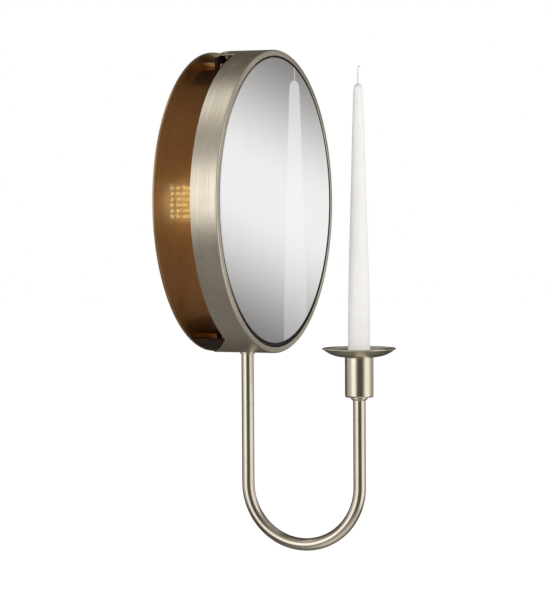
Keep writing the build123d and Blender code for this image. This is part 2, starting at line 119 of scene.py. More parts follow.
def rounded(corners, steps=5, hold=0.15 * MM):
    """A closed outline of (u, v, edge) points. Each corner is (u, v, radius), and edge is 1 on its arc.
    A point at each side of an arc keeps the flat stretch beside it flat when the piece is shaded smooth."""
    outline = []
    for index, (u, v, radius) in enumerate(corners):
        here = Vector((u, v))
        if radius == 0:
            outline.append((u, v, 0.0))
            continue
        back = Vector(corners[index - 1][:2]) - here
        ahead = Vector(corners[(index + 1) % len(corners)][:2]) - here
        half = back.angle(ahead) / 2
        reach = min(radius / math.tan(half), 0.42 * back.length, 0.42 * ahead.length)
        radius = reach * math.tan(half)
        middle = here + (back.normalized() + ahead.normalized()).normalized() * (radius / math.sin(half))
        start = here + back.normalized() * reach - middle
        end = here + ahead.normalized() * reach - middle
        sweep = start.angle(end)
        before = here + back.normalized() * min(reach + hold, 0.47 * back.length)
        outline.append((*before, 0.0))
        for step in range(steps + 1):
            t = step / steps
            spot = middle + (start * math.sin((1 - t) * sweep) + end * math.sin(t * sweep)) / math.sin(sweep)
            outline.append((*spot, 1.0))
        after = here + ahead.normalized() * min(reach + hold, 0.47 * ahead.length)
        outline.append((*after, 0.0))
    return outline


def lengths_along(outline):
    """The distance travelled along an outline, at each of its points."""
    travelled = [0.0]
    for first, second in zip(outline, outline[1:]):
        travelled.append(travelled[-1] + (Vector(second[:2]) - Vector(first[:2])).length)
    return travelled


def piece_from_rows(name, rows, close_rows=True):
    """A mesh from rows of points (place, grain, brush, edge). Grain is the coordinate that brushing
    follows, brush is the direction of the brushing, and edge is 1 where a corner is rounded over."""
    count = len(rows[0])
    faces = []
    for i in range(len(rows) if close_rows else len(rows) - 1):
        for j in range(count):
            a, b = i * count, (i + 1) % len(rows) * count
            k = (j + 1) % count
            faces.append((a + j, a + k, b + k, b + j))
    points = [point for row in rows for point in row]
    mesh = bpy.data.meshes.new(name)
    mesh.from_pydata([point[0] for point in points], [], faces)
    for column, label in ((1, "grain"), (2, "brush")):
        layer = mesh.attributes.new(label, "FLOAT_VECTOR", "POINT")
        layer.data.foreach_set("vector", [part for point in points for part in point[column]])
    mesh.attributes.new("edge", "FLOAT", "POINT").data.foreach_set("value", [point[3] for point in points])
    shaped = bmesh.new()
    shaped.from_mesh(mesh)
    bmesh.ops.remove_doubles(shaped, verts=shaped.verts, dist=0.002 * MM)
    bmesh.ops.recalc_face_normals(shaped, faces=shaped.faces)
    shaped.to_mesh(mesh)
    shaped.free()
    shade(mesh, 38)
    return new_object(name, mesh)


def lathe(name, outline, axis="Z", centre=(0.0, 0.0), steps=192, bend=None):
    """Turns a closed outline about an upright axis at (x, y), or about an axis off the wall at (x, z).
    bend moves a finished place, given its angle."""
    travelled = lengths_along(outline)
    reach = max(point[0] for point in outline)
    rows = []
    for step in range(steps):
        turn = 2 * math.pi * step / steps
        c, s = math.cos(turn), math.sin(turn)
        row = []
        for (radius, height, edge), along in zip(outline, travelled):
            if axis == "Z":
                place = Vector((centre[0] + radius * c, centre[1] + radius * s, height))
                brush = (-s, c, 0.0)
            else:
                place = Vector((centre[0] + radius * c, height, centre[1] + radius * s))
                brush = (-s, 0.0, c)
            if bend:
                place = bend(place, turn)
            row.append((place, (c * reach, s * reach, along), brush, edge))
        rows.append(row)
    return piece_from_rows(name, rows)


def rings_along(line, radius, steps):
    """Rings of points round a line, for a pipe's outer or inner wall."""
    rows = []
    travelled = 0.0
    side = (line[1] - line[0]).orthogonal().normalized()
    for index, spot in enumerate(line):
        ahead = (line[min(index + 1, len(line) - 1)] - line[max(index - 1, 0)]).normalized()
        side = (side - ahead * side.dot(ahead)).normalized()
        other = ahead.cross(side)
        travelled += (spot - line[index - 1]).length if index else 0.0
        row = []
        for step in range(steps):
            turn = 2 * math.pi * step / steps
            out = side * math.cos(turn) + other * math.sin(turn)
            brush = other * math.cos(turn) - side * math.sin(turn)
            grain = (math.cos(turn) * radius, math.sin(turn) * radius, travelled)
            row.append((spot + out * radius, grain, brush, 0.0))
        rows.append(row)
    return rows


def pipe(name, line, radius, bore=0.0, steps=48):
    """A round tube along a line of points: open right through with a bore, and solid without one."""
    rows = rings_along(line, radius, steps)
    if bore:
        rows += rings_along(line, bore, steps)[::-1]
        return piece_from_rows(name, rows)
    first = [(line[0], grain, brush, edge) for _, grain, brush, edge in rows[0]]
    last = [(line[-1], grain, brush, edge) for _, grain, brush, edge in rows[-1]]
    return piece_from_rows(name, [first] + rows + [last], close_rows=False)


def softened(node, width):
    """A copy of a CAD node's shape with its corners broken, as deburred, plated or moulded parts have."""
    source = frame["nodes"][node].data
    shaped = bmesh.new()
    shaped.from_mesh(source)
    bmesh.ops.remove_doubles(shaped, verts=shaped.verts, dist=0.001 * MM)
    flat_enough = math.radians(0.6)
    bmesh.ops.dissolve_limit(shaped, angle_limit=flat_enough, verts=shaped.verts, edges=shaped.edges)
    mesh = new_mesh(node + "_finished", shaped)
    made = new_object(mesh.name, mesh)
    bevel = made.modifiers.new("broken corners", "BEVEL")
    bevel.width = width
    bevel.segments = 2
    bevel.limit_method = "ANGLE"
    bevel.angle_limit = math.radians(35)
    bevel.use_clamp_overlap = True
    settle(made)
    shade(made.data, 32)
    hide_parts(node)
    return made


# ---- materials: short ways to make and join nodes ----
def add_node(tree, kind, inputs=None, **settings):
    """Adds a shader node. An input is a number, a colour, or another node's output."""
    made = tree.nodes.new("ShaderNode" + kind)
    for key, value in settings.items():
        setattr(made, key, value)
    for key, value in (inputs or {}).items():
        if isinstance(value, bpy.types.NodeSocket):
            tree.links.new(value, made.inputs[key])
        else:
            made.inputs[key].default_value = value
    return made


def arithmetic(tree, operation, first, second=0.0, third=0.0):
    made = add_node(tree, "Math", {0: first, 1: second, 2: third}, operation=operation)
    return made.outputs[0]


def product(tree, first, second):
    return arithmetic(tree, "MULTIPLY", first, second)


def parts_of(tree, vector):
    return add_node(tree, "SeparateXYZ", {0: vector}).outputs


def stretch(tree, place, scale, tilt=0.0):
    """Coordinates with a scale of their own on each axis, tilted about Y."""
    inputs = {"Vector": place, "Scale": scale, "Rotation": (0.0, tilt, 0.0)}
    return add_node(tree, "Mapping", inputs).outputs[0]


def spread(tree, value, low, high, to_low=0.0, to_high=1.0):
    """Maps a value from one range to another, eased at both ends."""
    inputs = {"Value": value, "From Min": low, "From Max": high, "To Min": to_low, "To Max": to_high}
    return add_node(tree, "MapRange", inputs, interpolation_type="SMOOTHSTEP").outputs[0]


def mix_colours(tree, factor, first, second, blend="MIX"):
    made = add_node(tree, "Mix", data_type="RGBA", blend_type=blend)
    for index, value in ((0, factor), (6, first), (7, second)):
        if isinstance(value, bpy.types.NodeSocket):
            tree.links.new(value, made.inputs[index])
        else:
            made.inputs[index].default_value = value if index == 0 else (*value, 1.0)
    return made.outputs[2]


def cloud(tree, where, scale, detail=4.0, roughness=0.55, distortion=0.0):
    inputs = {
        "Vector": where, "Scale": scale, "Detail": detail, "Roughness": roughness, "Distortion": distortion,
    }
    return add_node(tree, "TexNoise", inputs).outputs["Fac"]


def group_of(name, inputs, outputs):
    """An empty node group with named sockets. Returns the tree and its input and output nodes."""
    tree = bpy.data.node_groups.new(name, "ShaderNodeTree")
    kinds = {"value": "NodeSocketFloat", "vector": "NodeSocketVector", "colour": "NodeSocketColor"}
    for label, kind in inputs.items():
        tree.interface.new_socket(label, in_out="INPUT", socket_type=kinds[kind])
    for label, kind in outputs.items():
        tree.interface.new_socket(label, in_out="OUTPUT", socket_type=kinds[kind])
    return tree, tree.nodes.new("NodeGroupInput").outputs, tree.nodes.new("NodeGroupOutput").inputs


def use_group(tree, group, **inputs):
    """Places a node group. Inputs are its socket names in lower case, with spaces as underscores."""
    made = add_node(tree, "Group", node_tree=group)
    for socket in made.inputs:
        value = inputs.get(socket.name.lower().replace(" ", "_"))
        if value is None:
            continue
        if isinstance(value, bpy.types.NodeSocket):
            tree.links.new(value, socket)
        else:
            socket.default_value = value
    return made.outputs


# ---- effects that several finishes share ----
def brushed_lines_group():
    """Fine parallel scratches. Grain's first two parts run along the scratch and the third crosses it."""
    tree, given, out = group_of(
        "Brushed Lines",
        {"Grain": "vector", "Lines per Metre": "value", "Runs per Metre": "value"},
        {"Lines": "value", "Streaks": "value"},
    )
    parts = parts_of(tree, given["Grain"])

    def stretched(share, detail):
        along = product(tree, given["Runs per Metre"], share ** 0.5)
        across = product(tree, given["Lines per Metre"], share)
        combined = add_node(tree, "CombineXYZ", {
            0: product(tree, parts[0], along),
            1: product(tree, parts[1], along),
            2: product(tree, parts[2], across),
        })
        return cloud(tree, combined.outputs[0], 1.0, detail, 0.65)

    fine, broad = stretched(1.0, 3.0), stretched(0.16, 2.0)
    both = arithmetic(tree, "MULTIPLY_ADD", fine, 0.8, product(tree, broad, 0.2))
    tree.links.new(spread(tree, both, 0.38, 0.62), out["Lines"])
    tree.links.new(spread(tree, broad, 0.36, 0.64), out["Streaks"])
    return tree


def handling_marks_group():
    """Soft cloudy patches and faint smears, as left by wiping and handling."""
    tree, given, out = group_of("Handling Marks", {"Place": "vector", "Size": "value"}, {"Marks": "value"})
    scale = arithmetic(tree, "DIVIDE", 1.0, given["Size"])
    broad = cloud(tree, given["Place"], scale, 3.0, 0.5, 0.4)
    fine = cloud(tree, given["Place"], product(tree, scale, 4.7), 5.0, 0.6, 1.2)
    both = product(tree, spread(tree, broad, 0.42, 0.68), spread(tree, fine, 0.35, 0.7))
    tree.links.new(both, out["Marks"])
    return tree


def edge_wear_group():
    """An uneven mask where an edge is rounded over: wear on the nickel, and painted shade on the bronze
    plate's rim.
    """
    tree, given, out = group_of(
        "Edge Wear", {"Edge": "value", "Place": "vector", "Amount": "value"}, {"Wear": "value"}
    )
    patches = cloud(tree, given["Place"], 140.0, 5.0, 0.6)
    uneven = spread(tree, patches, 0.35, 0.7, 0.25, 1.0)
    worn_and_shaded = product(tree, given["Edge"], uneven)
    tree.links.new(product(tree, worn_and_shaded, given["Amount"]), out["Wear"])
    return tree


def settled_dust_group():
    """A thin film of dust on surfaces that face up."""
    tree, given, out = group_of("Settled Dust", {"Place": "vector", "Amount": "value"}, {"Dust": "value"})
    normal = add_node(tree, "NewGeometry").outputs["Normal"]
    upward = spread(tree, parts_of(tree, normal)[2], 0.35, 0.95)
    specks = spread(tree, cloud(tree, given["Place"], 900.0, 6.0, 0.7), 0.4, 0.75)
    patches = spread(tree, cloud(tree, given["Place"], 45.0, 3.0), 0.3, 0.7)
    film = product(tree, arithmetic(tree, "ADD", specks, 0.25), patches)
    lying = product(tree, film, upward)
    tree.links.new(product(tree, lying, given["Amount"]), out["Dust"])
    return tree


def mottle_group():
    """Two close colours in soft patches."""
    tree, given, out = group_of(
        "Mottled Colour",
        {"Place": "vector", "Scale": "value", "First": "colour", "Second": "colour"},
        {"Colour": "colour", "Patches": "value"},
    )
    patches = spread(tree, cloud(tree, given["Place"], given["Scale"], 5.0, 0.6, 0.3), 0.32, 0.68)
    mixed = add_node(tree, "Mix", data_type="RGBA")
    tree.links.new(patches, mixed.inputs[0])
    tree.links.new(given["First"], mixed.inputs[6])
    tree.links.new(given["Second"], mixed.inputs[7])
    tree.links.new(mixed.outputs[2], out["Colour"])
    tree.links.new(patches, out["Patches"])
    return tree


def moulded_grain_group():
    """The fine spark-eroded texture of moulded plastic and rubber."""
    tree, given, out = group_of("Moulded Grain", {"Place": "vector", "Scale": "value"}, {"Height": "value"})
    cells = add_node(tree, "TexVoronoi", {"Vector": given["Place"], "Scale": given["Scale"]})
    soft = cloud(tree, given["Place"], given["Scale"], 3.0, 0.6)
    tree.links.new(arithmetic(tree, "MULTIPLY_ADD", cells.outputs["Distance"], 0.5, soft), out["Height"])
    return tree


brushed_lines = brushed_lines_group()
handling_marks = handling_marks_group()
edge_wear_and_shade = edge_wear_group()
settled_dust = settled_dust_group()
mottled_colour = mottle_group()
moulded_grain = moulded_grain_group()


# ---- finishes ----
finishes = {}


def start_finish(name, **uniform):
    """Begins a finish. uniform sets the shader's values that are the same all over the surface."""
    material = bpy.data.materials.new(name)
    material.use_nodes = True
    tree = material.node_tree
    surface = tree.nodes["Principled BSDF"]
    for key, value in uniform.items():
        surface.inputs[key.replace("_", " ")].default_value = value
    finishes[name] = material
    return tree, surface, add_node(tree, "TexCoord").outputs["Object"]


def attribute(tree, label, output):
    return add_node(tree, "Attribute", attribute_name=label).outputs[output]


def feed(surface, key, value):
    """Joins a node's output to one of the shader's inputs."""
    surface.id_data.links.new(value, surface.inputs[key])


def bump(surface, height, depth, strength):
    """Feeds a height to the shader's normal. depth is how far the surface moves, in metres."""
    inputs = {"Height": height, "Distance": depth, "Strength": strength}
    feed(surface, "Normal", add_node(surface.id_data, "Bump", inputs).outputs[0])


def marks_on(tree, place, size):
    return use_group(tree, handling_marks, place=place, size=size)["Marks"]


def dust_on(tree, place, amount):
    return use_group(tree, settled_dust, place=place, amount=amount)["Dust"]


def edge_wear_and_shade_on(tree, place):
    return use_group(tree, edge_wear_and_shade, edge=attribute(tree, "edge", "Fac"), place=place, amount=1.0)["Wear"]


def mottled(tree, place, scale, first, second):
    return use_group(
        tree, mottled_colour, place=place, scale=scale, first=(*first, 1.0), second=(*second, 1.0)
    )


def tint(tree, mask, amount, under, over, blend="MIX"):
    """Lays one colour over another where a mask is bright. amount is the most that shows."""
    return mix_colours(tree, product(tree, mask, amount), under, over, blend)


def paint(surface, colour):
    feed(surface, "Base Color", colour)


def roughen(surface, rough, *effects):
    """Starts from one roughness. Each effect is a mask and what it adds where the mask is bright."""
    for mask, added in effects:
        rough = arithmetic(surface.id_data, "MULTIPLY_ADD", mask, added, rough)
    feed(surface, "Roughness", rough)


def brushed_metal(name, light, dark, rough, lines_per_metre, anisotropy, depth, dust):
    """Brushed and satin-lacquered metal with streaks, brighter worn corners, faint smears and dust."""
    tree, surface, place = start_finish(name, Metallic=1.0, Anisotropic=anisotropy)
    grain = attribute(tree, "grain", "Vector")
    lines = use_group(tree, brushed_lines, grain=grain, lines_per_metre=lines_per_metre, runs_per_metre=5.0)
    marks = marks_on(tree, place, 0.05)
    worn_and_shaded = edge_wear_and_shade_on(tree, place)
    lying = dust_on(tree, place, dust)
    tone = mottled(tree, place, 16.0, light, dark)["Colour"]
    streaked = tint(tree, lines["Lines"], 0.22, tone, dark, "MULTIPLY")
    rubbed_and_shaded = tuple(min(1, part * 1.25) for part in light)
    polished = tint(tree, worn_and_shaded, 0.3, streaked, rubbed_and_shaded)
    paint(surface, tint(tree, lying, 0.35, polished, (0.62, 0.60, 0.56)))
    roughen(
        surface, rough - 0.03,
        (lines["Streaks"], 0.03), (lines["Lines"], 0.04), (marks, 0.04), (worn_and_shaded, -0.03), (lying, 0.25),
    )
    feed(surface, "Tangent", attribute(tree, "brush", "Vector"))
    bump(surface, lines["Lines"], depth, 0.35)


def brushed_nickel():
    brushed_metal(
        "brushed_nickel", light=(0.81, 0.755, 0.635), dark=(0.72, 0.655, 0.53), rough=0.29,
        lines_per_metre=2600.0, anisotropy=0.6, depth=0.007 * MM, dust=0.15,
    )


def drawn_nickel():
    """The same plating on drawn tube and turned parts, which are polished finer."""
    brushed_metal(
        "drawn_nickel", light=(0.83, 0.775, 0.66), dark=(0.76, 0.70, 0.575), rough=0.22,
        lines_per_metre=5200.0, anisotropy=0.45, depth=0.002 * MM, dust=0.1,
    )


def bronze_plate():
    """Satin bronze sheet under clear lacquer, which mirrors the lights."""
    tree, surface, place = start_finish(
        "bronze_plate", Metallic=1.0, Coat_Roughness=0.088, Coat_IOR=1.55, Anisotropic=0.35
    )
    grain = attribute(tree, "grain", "Vector")
    lines = use_group(tree, brushed_lines, grain=grain, lines_per_metre=1700.0, runs_per_metre=9.0)
    marks = marks_on(tree, place, 0.09)
    worn_and_shaded = edge_wear_and_shade_on(tree, place)
    lying = dust_on(tree, place, 0.6)
    tone = mottled(tree, place, 22.0, (0.60, 0.335, 0.120), (0.52, 0.285, 0.098))["Colour"]
    streaked = tint(tree, lines["Lines"], 0.10, tone, (0.25, 0.12, 0.04))
    # Painted shade: the plate's rounded rim is darkened towards dark brown, which keeps its bevel from
    # mirroring the soft boxes as a bright line.
    rubbed_and_shaded = tint(tree, worn_and_shaded, 0.85, streaked, (0.20, 0.13, 0.06))
    paint(surface, tint(tree, lying, 0.4, rubbed_and_shaded, (0.45, 0.42, 0.38)))
    roughen(surface, 0.36, (lines["Streaks"], 0.07), (marks, 0.12), (lying, 0.2))
    feed(surface, "Coat Weight", arithmetic(tree, "MULTIPLY_ADD", marks, -0.35, 0.95))
    feed(surface, "Tangent", attribute(tree, "brush", "Vector"))
    bump(surface, lines["Lines"], 0.005 * MM, 0.2)


def lacquered_sheet(name, first, second, rough, coat, metal):
    """Folded or turned metal under a tinted lacquer: soft orange peel, scuffs and dust."""
    tree, surface, place = start_finish(
        name, Metallic=metal, Coat_Roughness=0.22, Specular_IOR_Level=0.1, Coat_Weight=coat
    )
    tone = mottled(tree, place, 30.0, first, second)["Colour"]
    marks = marks_on(tree, place, 0.03)
    lying = dust_on(tree, place, 0.8)
    bare = tuple(part * 1.7 for part in first)
    scuffed = tint(tree, marks, 0.25, tone, bare)
    paint(surface, tint(tree, lying, 0.35, scuffed, (0.40, 0.37, 0.33)))
    roughen(surface, rough, (marks, 0.16), (lying, 0.2))
    bump(surface, cloud(tree, place, 700.0, 2.0, 0.4), 0.015 * MM, 0.5)


def dark_bronze():
    lacquered_sheet(
        "dark_bronze", (0.024, 0.0095, 0.006), (0.014, 0.0065, 0.0045), rough=0.40, coat=0.0, metal=0.1
    )


def warm_bronze():
    """Turned spacers in the plate's own colour."""
    lacquered_sheet(
        "warm_bronze", (0.50, 0.26, 0.095), (0.43, 0.22, 0.078), rough=0.36, coat=0.1, metal=0.95
    )


def dark_cover():
    lacquered_sheet(
        "dark_cover", (0.34, 0.25, 0.16), (0.28, 0.20, 0.125), rough=0.42, coat=0.2, metal=0.3
    )


def bright_steel():
    """Zinc-plated screws: bright, with faint yellow-grey passivation and fine tool marks."""
    tree, surface, place = start_finish("bright_steel", Metallic=1.0)
    tone = mottled(tree, place, 420.0, (0.86, 0.85, 0.82), (0.70, 0.69, 0.64))
    marks = marks_on(tree, place, 0.004)
    paint(surface, tone["Colour"])
    roughen(surface, 0.2, (marks, 0.25))
    bump(surface, cloud(tree, place, 3800.0, 4.0, 0.7), 0.02 * MM, 0.3)


def mirror_silver():
    """Silvered glass: a clear reflection, faint smears, specks of dust, and a ground edge painted near black
    with the shade of the seam round it.
    """
    tree, surface, place = start_finish("mirror_silver", Metallic=1.0)
    marks = marks_on(tree, place, 0.07)
    wiping = cloud(tree, stretch(tree, place, (60.0, 1.0, 9.0), 0.5), 1.0, 3.0, 0.5, 0.3)
    ground_edge_and_shade = attribute(tree, "edge", "Fac")
    specks = spread(tree, cloud(tree, place, 1500.0, 2.0, 0.5), 0.72, 0.8)
    smeared = spread(tree, wiping, 0.4, 0.7, 0.0, 0.5)
    tone = mix_colours(tree, smeared, (0.935, 0.945, 0.957), (0.915, 0.925, 0.935))
    # Painted shade: the ground edge is darkened almost to black, standing in for the shadowed seam between
    # the glass and the lip.
    paint(surface, tint(tree, ground_edge_and_shade, 0.8, tone, (0.05, 0.065, 0.06)))
    roughen(surface, 0.012, (marks, 0.03), (specks, 0.12), (ground_edge_and_shade, 0.3))


def black_rubber():
    tree, surface, place = start_finish("black_rubber", Specular_IOR_Level=0.2)
    tone = mottled(tree, place, 260.0, (0.007, 0.007, 0.007), (0.014, 0.0135, 0.0125))
    grain = use_group(tree, moulded_grain, place=place, scale=2600.0)["Height"]
    lying = dust_on(tree, place, 0.7)
    paint(surface, tint(tree, lying, 0.3, tone["Colour"], (0.3, 0.29, 0.27)))
    roughen(surface, 0.42, (tone["Patches"], 0.14))
    bump(surface, grain, 0.03 * MM, 0.4)


def moulded(name, first, second, rough, scale):
    """Moulded plastic with spark-eroded grain, soft colour drift and dust."""
    tree, surface, place = start_finish(name)
    tone = mottled(tree, place, 90.0, first, second)
    grain = use_group(tree, moulded_grain, place=place, scale=scale)["Height"]
    marks = marks_on(tree, place, 0.02)
    lying = dust_on(tree, place, 0.7)
    paint(surface, tint(tree, lying, 0.3, tone["Colour"], (0.42, 0.40, 0.37)))
    roughen(surface, rough, (marks, 0.15))
    bump(surface, grain, 0.03 * MM, 0.35)


def driver_case():
    moulded("driver_case", (0.035, 0.035, 0.038), (0.024, 0.024, 0.027), 0.45, 2200.0)


def terminal_nylon():
    moulded("terminal_nylon", (0.80, 0.79, 0.74), (0.74, 0.73, 0.67), 0.4, 3000.0)


def backing_board():
    """Pressed fibreboard: matted fibres, dark flecks and a slightly glazed face."""
    tree, surface, place = start_finish("backing_board")
    fibres = cloud(tree, stretch(tree, place, (260.0, 260.0, 900.0), 0.6), 1.0, 6.0, 0.7, 1.5)
    tone = mix_colours(tree, spread(tree, fibres, 0.35, 0.65), (0.36, 0.25, 0.15), (0.22, 0.14, 0.08))
    flecks = spread(tree, cloud(tree, place, 1400.0, 2.0), 0.62, 0.7)
    paint(surface, mix_colours(tree, flecks, tone, (0.09, 0.055, 0.03)))
    roughen(surface, spread(tree, fibres, 0.3, 0.7, 0.6, 0.85))
    bump(surface, fibres, 0.08 * MM, 0.5)


def foam_pad():
    """Closed-cell foam: round cells, open at the cut faces."""
    tree, surface, place = start_finish("foam_pad")
    cells = add_node(tree, "TexVoronoi", {"Vector": place, "Scale": 1300.0}).outputs["Distance"]
    tone = mix_colours(tree, spread(tree, cells, 0.1, 0.6), (0.60, 0.59, 0.55), (0.82, 0.81, 0.77))
    paint(surface, tone)
    roughen(surface, spread(tree, cells, 0.0, 0.7, 0.95, 0.75))
    bump(surface, cells, 0.15 * MM, 0.7)


def board_white():
    """White solder mask over copper: the buried traces show as faint ridges, with a few flux stains."""
    tree, surface, place = start_finish("board_white", Coat_Roughness=0.12, Coat_Weight=0.4)
    bricks = add_node(tree, "TexBrick", {
        "Vector": add_node(tree, "Mapping", {
            "Vector": place, "Rotation": (math.radians(90), 0.0, 0.0), "Location": (0.0067, 0.0029, 0.0),
        }).outputs[0],
        "Color1": (1, 1, 1, 1), "Color2": (1, 1, 1, 1), "Mortar": (0, 0, 0, 1), "Scale": 1.0,
        "Mortar Size": 0.0007, "Mortar Smooth": 0.3, "Brick Width": 0.0135, "Row Height": 0.0058,
    }, offset=0.0)
    traces = bricks.outputs["Color"]
    flux = marks_on(tree, place, 0.012)
    tone = mix_colours(tree, traces, (0.50, 0.49, 0.42), (0.62, 0.61, 0.55))
    paint(surface, tint(tree, flux, 0.35, tone, (0.60, 0.52, 0.36)))
    roughen(surface, 0.32, (flux, 0.2))
    bump(surface, traces, 0.05 * MM, 0.5)


def light_chip():
    """A lit chip: a white rim round a glowing phosphor face."""
    tree, surface, place = start_finish("light_chip", Emission_Strength=6.4)
    middle = cloud(tree, place, 900.0, 2.0)
    glow = mix_colours(tree, spread(tree, middle, 0.35, 0.65), (1.0, 0.80, 0.30), (1.0, 0.90, 0.42))
    paint(surface, mix_colours(tree, 0.5, glow, (0.95, 0.75, 0.35)))
    feed(surface, "Emission Color", glow)
    roughen(surface, spread(tree, middle, 0.3, 0.7, 0.35, 0.5))


def brass():
    """Turned brass with fine lathe lines and brown tarnish in patches."""
    tree, surface, place = start_finish("brass", Metallic=1.0)
    height = parts_of(tree, place)[2]
    rings = arithmetic(tree, "SINE", product(tree, height, 9000.0))
    tone = mottled(tree, place, 160.0, (0.80, 0.60, 0.28), (0.58, 0.40, 0.17))
    paint(surface, tone["Colour"])
    roughen(surface, 0.24, (tone["Patches"], 0.18))
    bump(surface, rings, 0.02 * MM, 0.4)


def white_wax():
    """Smooth dipped wax with a bloom and fine dip lines. Its foot is given a painted white glow, in place of
    the light that the drip pan keeps off it.
    """
    tree, surface, place = start_finish(
        "white_wax", Subsurface_Weight=0.35, Subsurface_Scale=0.006, Coat_Roughness=0.3, IOR=1.44,
        Emission_Strength=0.26, Subsurface_Radius=(1.0, 0.85, 0.7), Coat_Weight=0.15,
    )
    dips = cloud(tree, stretch(tree, place, (420.0, 420.0, 22.0)), 1.0, 4.0, 0.6, 0.4)
    tone = mottled(tree, place, 38.0, (0.945, 0.94, 0.925), (0.905, 0.90, 0.88))
    bloom = marks_on(tree, place, 0.03)
    paint(surface, tint(tree, bloom, 0.4, tone["Colour"], (0.97, 0.97, 0.965)))
    roughen(surface, 0.34, (bloom, 0.2))
    bump(surface, dips, 0.05 * MM, 0.35)
    # Painted light: the wax emits white at strength 0.26 round its foot, fading out 30 mm above the pan, to
    # lift the shade under the candle.
    height = parts_of(tree, place)[2]
    foot = spread(tree, height, pan_low.z, pan_high.z + 30 * MM, 1.0, 0.0)
    glow = mix_colours(tree, foot, (0.0, 0.0, 0.0), (1.0, 0.99, 0.97))
    feed(surface, "Emission Color", glow)


def cotton_wick():
    """Waxed cotton: fine fibres along each strand."""
    tree, surface, _ = start_finish("cotton_wick", Sheen_Weight=0.3, Sheen_Roughness=0.5)
    grain = attribute(tree, "grain", "Vector")
    fibres = cloud(tree, stretch(tree, grain, (9000.0, 9000.0, 500.0)), 1.0, 4.0, 0.65)
    tone = mix_colours(tree, spread(tree, fibres, 0.3, 0.7), (0.90, 0.88, 0.83), (0.66, 0.63, 0.56))
    paint(surface, tone)
    roughen(surface, spread(tree, fibres, 0.3, 0.7, 0.6, 0.85))
    bump(surface, fibres, 0.06 * MM, 0.6)


# The finishes take the CAD materials' names, so those are renamed first.
for plain in list(bpy.data.materials):
    plain.name = "plain_" + plain.name
for make_finish in (
    brushed_nickel, drawn_nickel, bronze_plate, dark_bronze, warm_bronze, dark_cover, bright_steel,
    mirror_silver, black_rubber, backing_board, foam_pad, board_white, light_chip, driver_case,
    terminal_nylon, brass, white_wax, cotton_wick,
):
    make_finish()
body_of_node = {
    node: body for body, nodes in frame["record"]["behaviour"]["bodies"].items() for node in nodes
}


def finish_piece(piece, finish, node):
    """Gives a piece its finish and makes it move with the body of the CAD node that it stands for."""
    piece.data.materials.clear()
    piece.data.materials.append(finishes[finish])
    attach(piece, body_of_node[node])


def stands_for(piece, finish, node):
    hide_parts(node)
    finish_piece(piece, finish, node)


# ---- wall plate: a spun sheet, with its wall and bracket screw holes ----
def make_wall_plate():
    radius = plate_high.x
    thick = plate_low.y
    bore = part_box("wire_bush")[1].x - 3 * MM
    outline = rounded([
        (bore, 0.0, 0.2 * MM), (radius, 0.0, 0.3 * MM), (radius, thick, 0.7 * MM), (bore, thick, 0.3 * MM),
    ])
    plate = lathe("wall_plate_spun", outline, axis="Y", steps=320)
    wall_screw_x, wall_screw_r = 44.45 * MM, 2.4 * MM
    bracket_screw_x, bracket_screw_z, bracket_screw_r = 33 * MM, 136 * MM, 2.05 * MM
    drill_places = [(side * wall_screw_x, 0.0, wall_screw_r) for side in (-1, 1)]
    drill_places += [
        (side * bracket_screw_x, end * bracket_screw_z, bracket_screw_r)
        for side in (-1, 1) for end in (-1, 1)
    ]
    drills = bmesh.new()
    for x, z, hole_r in drill_places:
        turned = Matrix.Translation((x, 0.0, z)) @ Matrix.Rotation(math.radians(90), 4, "X")
        bmesh.ops.create_cone(
            drills, cap_ends=True, segments=40, radius1=hole_r, radius2=hole_r, depth=20 * MM,
            matrix=turned,
        )
    cutter = new_object("drills", new_mesh("drills", drills))
    cut = plate.modifiers.new("holes", "BOOLEAN")
    cut.object = cutter
    cut.operation = "DIFFERENCE"
    cut.solver = "EXACT"
    settle(plate)
    bpy.data.objects.remove(cutter)
    plate.data.set_sharp_from_angle(angle=math.radians(38))
    stands_for(plate, "bronze_plate", "wall_plate")


# ---- drum band: rolled round the mirror, with a tongue below and a strap above ----
def rear_edge(turn):
    """Where the band ends on the wall side, at an angle from +X."""
    x = drum_r * math.cos(turn)
    if math.sin(turn) < 0 and abs(x) < tongue_half:
        share = (tongue_half - max(abs(x), tongue_tip_half)) / (tongue_half - tongue_tip_half)
        return drum_back + (tongue_tip - drum_back) * share
    if math.sin(turn) > 0 and abs(x) < strap_half:
        return strap_tip
    return drum_back


def band_turns():
    """Angles round the band. Each corner of the tongue has a column, and each side of the strap has two."""
    turns = [2 * math.pi * step / 480 for step in range(480)]
    hair = 0.02 * MM / drum_r
    for half in (tongue_half, tongue_tip_half):
        lean = math.asin(half / drum_r)
        turns += [1.5 * math.pi - lean, 1.5 * math.pi + lean]
    lean = math.asin(strap_half / drum_r)
    turns += [0.5 * math.pi + side * (lean + nudge) for side in (-1, 1) for nudge in (-hair, hair)]
    return sorted(turns)


def make_drum_band():
    inner_r = drum_r - sheet
    crown = 0.5 * MM
    lip_back = -61.4 * MM
    rows = []
    for turn in band_turns():
        rear = rear_edge(turn)
        outline = rounded([
            (drum_r, rear, 0.35 * MM), (drum_r, drum_front + crown, 1.2 * MM),
            (lip_r, drum_front, 0.6 * MM), (lip_r, lip_back, 0.2 * MM),
            (lip_r + sheet, lip_back, 0.2 * MM), (lip_r + sheet, drum_front + sheet, 0.2 * MM),
            (inner_r, drum_front + sheet, 0.3 * MM), (inner_r, rear, 0.35 * MM),
        ])
        travelled = lengths_along(outline)
        c, s = math.cos(turn), math.sin(turn)
        row = []
        for (radius, depth, edge), along in zip(outline, travelled):
            across = along + rear
            grain = (c * drum_r, s * drum_r, across)
            row.append((Vector((radius * c, depth, radius * s)), grain, (-s, 0.0, c), edge))
        rows.append(row)
    band = piece_from_rows("drum_band_rolled", rows)
    stands_for(band, "brushed_nickel", "drum_band")


